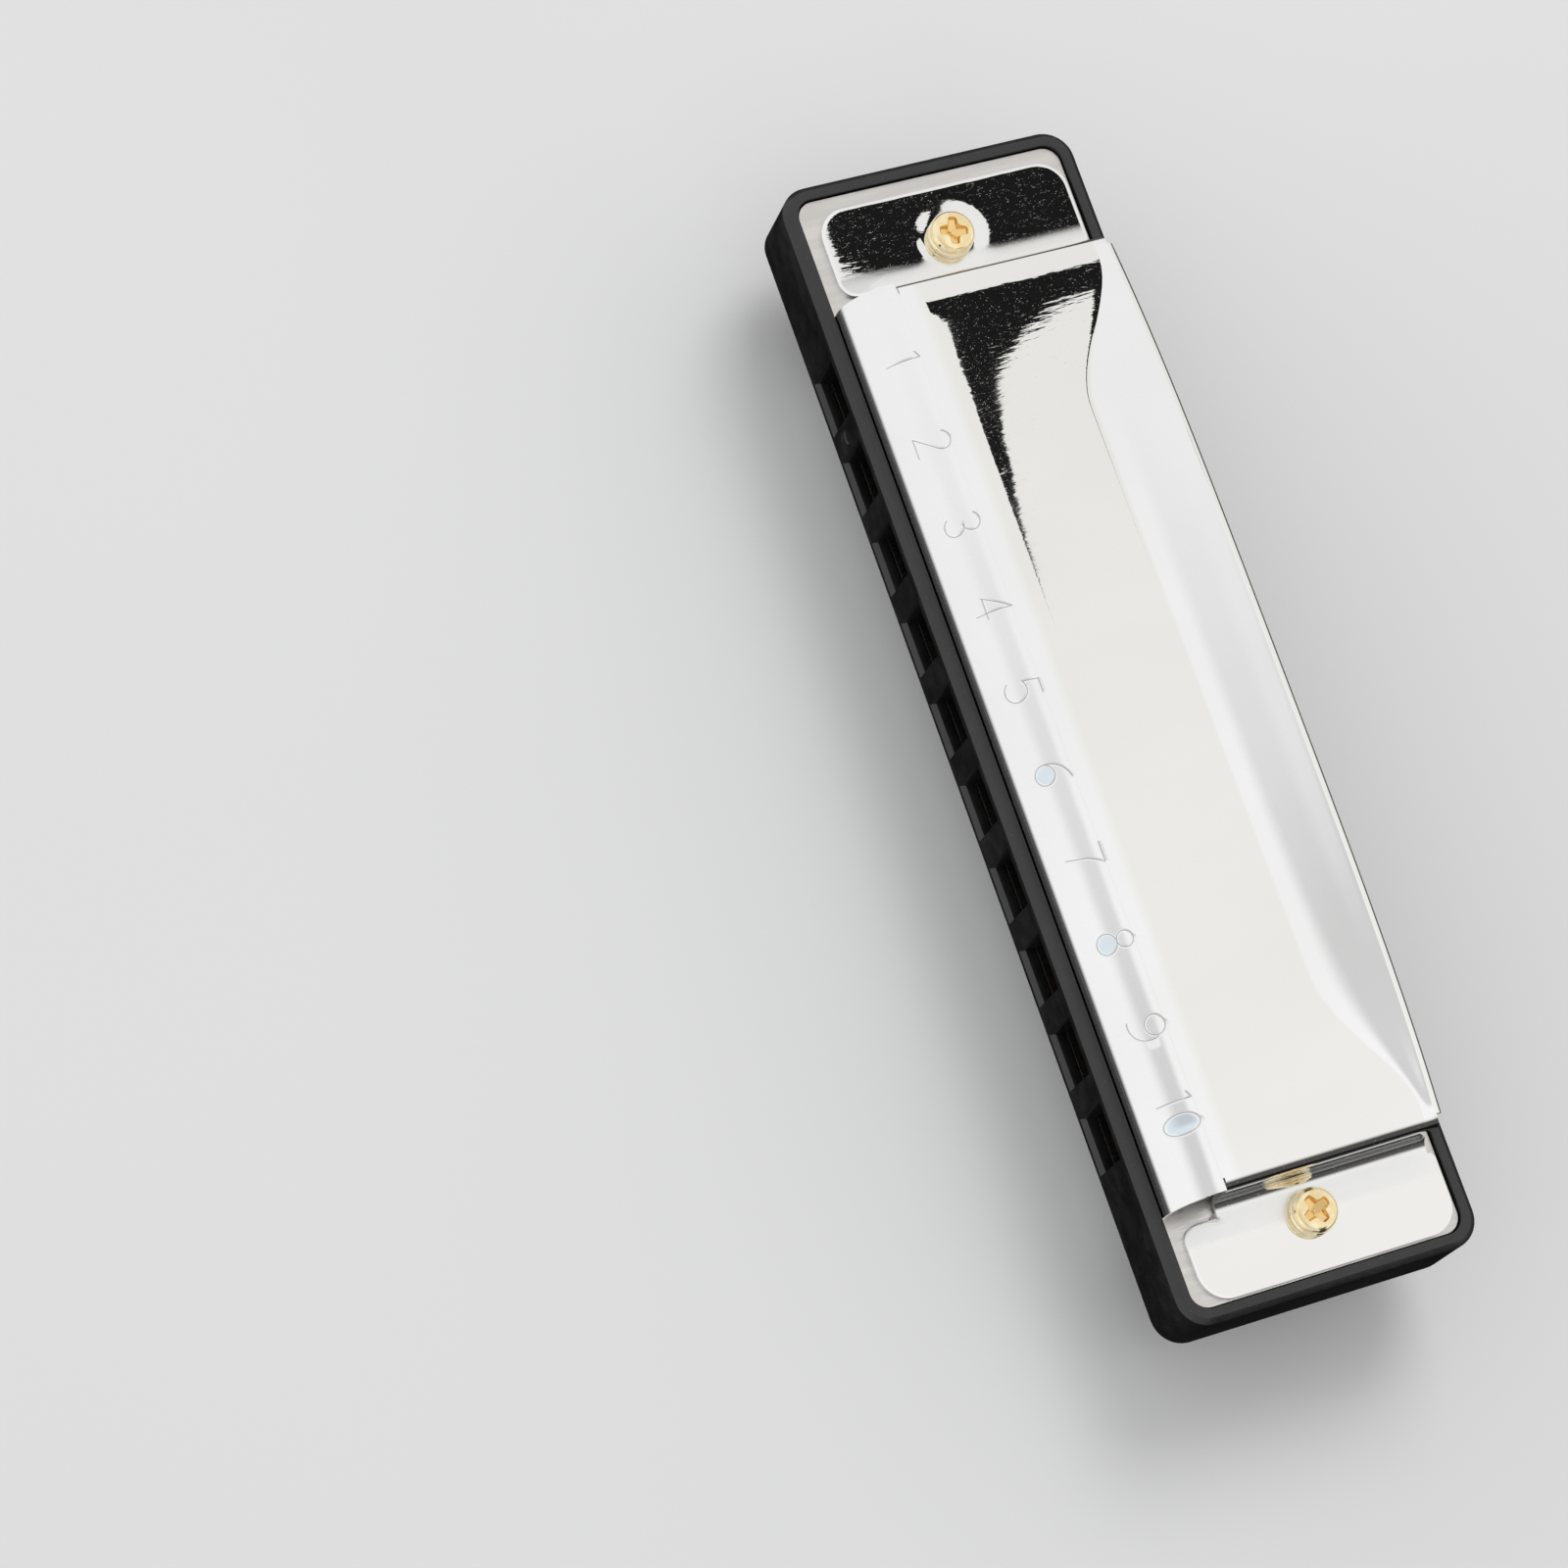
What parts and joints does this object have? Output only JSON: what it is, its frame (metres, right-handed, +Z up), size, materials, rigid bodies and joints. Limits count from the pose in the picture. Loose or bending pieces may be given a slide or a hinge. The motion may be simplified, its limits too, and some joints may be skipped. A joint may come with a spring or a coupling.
{
  "type": "harmonica",
  "caption": "Diatonic harmonica: black comb with a row of mouth holes between sprung brass reeds on two plates, under polished covers with a flared open back.",
  "frame": {"origin": "centre of the footprint, at the height of the lower cover's lowest point", "axes": "+X from hole 1 to hole 10, -Y out of the mouth holes, +Z up through the blow plate's cover"},
  "size_m": [0.102, 0.027, 0.0213],
  "materials": {
    "comb_plastic": "satin black moulded ABS",
    "plate_metal": "pale satin brass alloy",
    "reed_brass": "drawn brass, lightly filed",
    "rivet_brass": "pressed brass",
    "cover_chrome": "mirror polished with fine brush lines",
    "screw_brass": "polished gold-coloured brass",
    "plate_screw_steel": "plain zinc-plated steel"
  },
  "bodies": {
    "harmonica": {"comb": "comb_plastic", "blow_reed_plate": "plate_metal", "draw_reed_plate": "plate_metal", "blow_reed_bases": "reed_brass", "draw_reed_bases": "reed_brass", "blow_reed_rivets": "rivet_brass", "draw_reed_rivets": "rivet_brass", "top_cover": "cover_chrome", "bottom_cover": "cover_chrome", "cover_screws": "screw_brass", "cover_nuts": "screw_brass", "blow_plate_screws": "plate_screw_steel", "draw_plate_screws": "plate_screw_steel"},
    "blow_reed_1": {"blow_reed_1": "reed_brass"},
    "blow_reed_2": {"blow_reed_2": "reed_brass"},
    "blow_reed_3": {"blow_reed_3": "reed_brass"},
    "blow_reed_4": {"blow_reed_4": "reed_brass"},
    "blow_reed_5": {"blow_reed_5": "reed_brass"},
    "blow_reed_6": {"blow_reed_6": "reed_brass"},
    "blow_reed_7": {"blow_reed_7": "reed_brass"},
    "blow_reed_8": {"blow_reed_8": "reed_brass"},
    "blow_reed_9": {"blow_reed_9": "reed_brass"},
    "blow_reed_10": {"blow_reed_10": "reed_brass"},
    "draw_reed_1": {"draw_reed_1": "reed_brass"},
    "draw_reed_2": {"draw_reed_2": "reed_brass"},
    "draw_reed_3": {"draw_reed_3": "reed_brass"},
    "draw_reed_4": {"draw_reed_4": "reed_brass"},
    "draw_reed_5": {"draw_reed_5": "reed_brass"},
    "draw_reed_6": {"draw_reed_6": "reed_brass"},
    "draw_reed_7": {"draw_reed_7": "reed_brass"},
    "draw_reed_8": {"draw_reed_8": "reed_brass"},
    "draw_reed_9": {"draw_reed_9": "reed_brass"},
    "draw_reed_10": {"draw_reed_10": "reed_brass"}
  },
  "joints": [
    {"name": "blow_reed_1_swing", "type": "hinge", "parent": "harmonica", "child": "blow_reed_1", "pos_m": [-0.03348, -0.00692, 0.01318], "axis": [1, 0, 0], "range_deg": [-3, 3], "stiffness_Nm_per_rad": 0.0267},
    {"name": "blow_reed_2_swing", "type": "hinge", "parent": "harmonica", "child": "blow_reed_2", "pos_m": [-0.02604, -0.00692, 0.01318], "axis": [1, 0, 0], "range_deg": [-3, 3], "stiffness_Nm_per_rad": 0.0277},
    {"name": "blow_reed_3_swing", "type": "hinge", "parent": "harmonica", "child": "blow_reed_3", "pos_m": [-0.0186, -0.00692, 0.01318], "axis": [1, 0, 0], "range_deg": [-3, 3], "stiffness_Nm_per_rad": 0.0288},
    {"name": "blow_reed_4_swing", "type": "hinge", "parent": "harmonica", "child": "blow_reed_4", "pos_m": [-0.01116, -0.00692, 0.01318], "axis": [1, 0, 0], "range_deg": [-3, 3], "stiffness_Nm_per_rad": 0.03},
    {"name": "blow_reed_5_swing", "type": "hinge", "parent": "harmonica", "child": "blow_reed_5", "pos_m": [-0.00372, -0.00692, 0.01318], "axis": [1, 0, 0], "range_deg": [-3, 3], "stiffness_Nm_per_rad": 0.0314},
    {"name": "blow_reed_6_swing", "type": "hinge", "parent": "harmonica", "child": "blow_reed_6", "pos_m": [0.00372, -0.00692, 0.01318], "axis": [1, 0, 0], "range_deg": [-3, 3], "stiffness_Nm_per_rad": 0.033},
    {"name": "blow_reed_7_swing", "type": "hinge", "parent": "harmonica", "child": "blow_reed_7", "pos_m": [0.01116, -0.00692, 0.01318], "axis": [1, 0, 0], "range_deg": [-3, 3], "stiffness_Nm_per_rad": 0.0348},
    {"name": "blow_reed_8_swing", "type": "hinge", "parent": "harmonica", "child": "blow_reed_8", "pos_m": [0.0186, -0.00692, 0.01318], "axis": [1, 0, 0], "range_deg": [-3, 3], "stiffness_Nm_per_rad": 0.0369},
    {"name": "blow_reed_9_swing", "type": "hinge", "parent": "harmonica", "child": "blow_reed_9", "pos_m": [0.02604, -0.00692, 0.01318], "axis": [1, 0, 0], "range_deg": [-3, 3], "stiffness_Nm_per_rad": 0.0393},
    {"name": "blow_reed_10_swing", "type": "hinge", "parent": "harmonica", "child": "blow_reed_10", "pos_m": [0.03348, -0.00692, 0.01318], "axis": [1, 0, 0], "range_deg": [-3, 3], "stiffness_Nm_per_rad": 0.0422},
    {"name": "draw_reed_1_swing", "type": "hinge", "parent": "harmonica", "child": "draw_reed_1", "pos_m": [-0.03348, -0.00692, 0.00703], "axis": [1, 0, 0], "range_deg": [-3, 3], "stiffness_Nm_per_rad": 0.0275},
    {"name": "draw_reed_2_swing", "type": "hinge", "parent": "harmonica", "child": "draw_reed_2", "pos_m": [-0.02604, -0.00692, 0.00703], "axis": [1, 0, 0], "range_deg": [-3, 3], "stiffness_Nm_per_rad": 0.0284},
    {"name": "draw_reed_3_swing", "type": "hinge", "parent": "harmonica", "child": "draw_reed_3", "pos_m": [-0.0186, -0.00692, 0.00703], "axis": [1, 0, 0], "range_deg": [-3, 3], "stiffness_Nm_per_rad": 0.0294},
    {"name": "draw_reed_4_swing", "type": "hinge", "parent": "harmonica", "child": "draw_reed_4", "pos_m": [-0.01116, -0.00692, 0.00703], "axis": [1, 0, 0], "range_deg": [-3, 3], "stiffness_Nm_per_rad": 0.0304},
    {"name": "draw_reed_5_swing", "type": "hinge", "parent": "harmonica", "child": "draw_reed_5", "pos_m": [-0.00372, -0.00692, 0.00703], "axis": [1, 0, 0], "range_deg": [-3, 3], "stiffness_Nm_per_rad": 0.0316},
    {"name": "draw_reed_6_swing", "type": "hinge", "parent": "harmonica", "child": "draw_reed_6", "pos_m": [0.00372, -0.00692, 0.00703], "axis": [1, 0, 0], "range_deg": [-3, 3], "stiffness_Nm_per_rad": 0.033},
    {"name": "draw_reed_7_swing", "type": "hinge", "parent": "harmonica", "child": "draw_reed_7", "pos_m": [0.01116, -0.00692, 0.00703], "axis": [1, 0, 0], "range_deg": [-3, 3], "stiffness_Nm_per_rad": 0.0345},
    {"name": "draw_reed_8_swing", "type": "hinge", "parent": "harmonica", "child": "draw_reed_8", "pos_m": [0.0186, -0.00692, 0.00703], "axis": [1, 0, 0], "range_deg": [-3, 3], "stiffness_Nm_per_rad": 0.0362},
    {"name": "draw_reed_9_swing", "type": "hinge", "parent": "harmonica", "child": "draw_reed_9", "pos_m": [0.02604, -0.00692, 0.00703], "axis": [1, 0, 0], "range_deg": [-3, 3], "stiffness_Nm_per_rad": 0.0382},
    {"name": "draw_reed_10_swing", "type": "hinge", "parent": "harmonica", "child": "draw_reed_10", "pos_m": [0.03348, -0.00692, 0.00703], "axis": [1, 0, 0], "range_deg": [-3, 3], "stiffness_Nm_per_rad": 0.0404}
  ]
}
